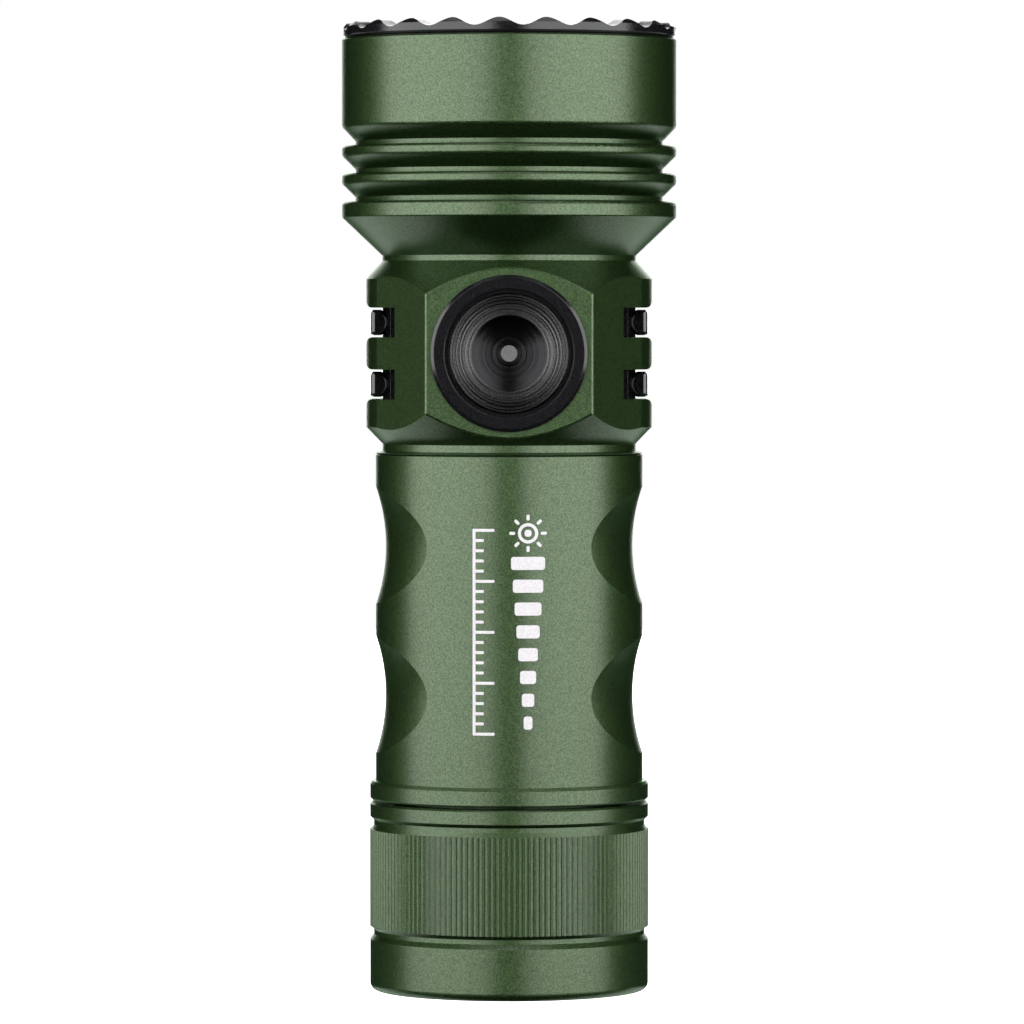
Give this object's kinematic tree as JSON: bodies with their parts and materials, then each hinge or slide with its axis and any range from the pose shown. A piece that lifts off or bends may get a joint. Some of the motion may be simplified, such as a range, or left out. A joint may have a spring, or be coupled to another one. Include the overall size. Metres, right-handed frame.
{
  "type": "tactical flashlight",
  "caption": "Compact tactical flashlight with a finned head, wave-cut bezel, round side switch, scalloped grip tube and knurled screw-off tail cap.",
  "frame": {"origin": "centre of the tail cap's flat face, on which the light stands", "axes": "+Z along the light's long axis towards the lens; the side switch faces -Y; +X is to the right of the switch"},
  "size_m": [0.035, 0.035, 0.1013],
  "materials": {
    "anodised_green": "satin bead-blasted and anodised",
    "black_metal": "glossy black anodised",
    "button_black": "turned black anodised",
    "black_rubber": "glossy",
    "clear_glass": "polished, coated",
    "clear_optic": "clear moulded plastic",
    "indicator_plastic": "translucent",
    "seal_rubber": "matte",
    "white_plastic": "matte",
    "circuit_board": "solder mask",
    "copper_board": "bare copper",
    "led_face": "phosphor",
    "wire_insulation": "matte",
    "steel": "bright",
    "chip_black": "matte",
    "connector_plastic": "matte",
    "brass": "machined",
    "flex_strip": "polyimide",
    "foil_roll": "wound foil",
    "cell_sleeve": "shrink film",
    "nickel": "nickel plated",
    "gold_contact": "gold plated",
    "black_plastic": "matte"
  },
  "bodies": {
    "light_body": {"head_shell": "anodised_green", "battery_tube": "anodised_green", "bezel_ring": "black_metal", "switch_ring": "black_metal", "slot_insert_upper_left": "black_rubber", "slot_insert_lower_left": "black_rubber", "slot_insert_upper_right": "black_rubber", "slot_insert_lower_right": "black_rubber", "front_glass": "clear_glass", "tir_optic": "clear_optic", "glass_seal": "seal_rubber", "nose_seal": "seal_rubber", "tail_seal": "seal_rubber", "switch_gasket": "seal_rubber", "optic_holder": "white_plastic", "driver_board": "circuit_board", "switch_board": "circuit_board", "led_board": "copper_board", "main_led": "led_face", "indicator_led": "led_face", "led_leads": "wire_insulation", "led_board_screws": "steel", "driver_controller": "chip_black", "driver_inductor": "chip_black", "tact_switch": "chip_black", "driver_connector": "connector_plastic", "driver_retaining_ring": "brass", "driver_contact": "brass", "switch_flex": "flex_strip"},
    "cell": {"cell_can": "steel", "cell_core": "foil_roll", "cell_wrap": "cell_sleeve", "cell_washer": "cell_sleeve", "cell_positive_cap": "nickel"},
    "tail_cap": {"tail_cap_shell": "anodised_green", "tail_magnet": "nickel", "tail_board": "circuit_board", "tail_spring": "steel", "tail_contact": "gold_contact", "tail_insulator": "black_plastic", "tail_retaining_ring": "brass"},
    "button": {"switch_button": "button_black", "indicator_lens": "indicator_plastic", "button_boot": "seal_rubber", "switch_plunger": "steel"}
  },
  "joints": [
    {"name": "button_press", "type": "slide", "parent": "light_body", "child": "button", "axis": [0, 1, 0], "range_m": [0, 0.00045], "stiffness_N_per_m": 4000, "springref_m": -0.0002},
    {"name": "cell_slide", "type": "slide", "parent": "light_body", "child": "cell", "axis": [0, 0, -1], "range_m": [0, 0.006]},
    {"name": "tail_cap_turn", "type": "hinge", "parent": "cell", "child": "tail_cap", "pos_m": [0, 0, 0], "axis": [0, 0, -1], "range_deg": [0, 2160]}
  ],
  "couplings": [
    {"joint": "tail_cap_turn", "follows": "cell_slide", "rad_per_m": 6283.2}
  ]
}
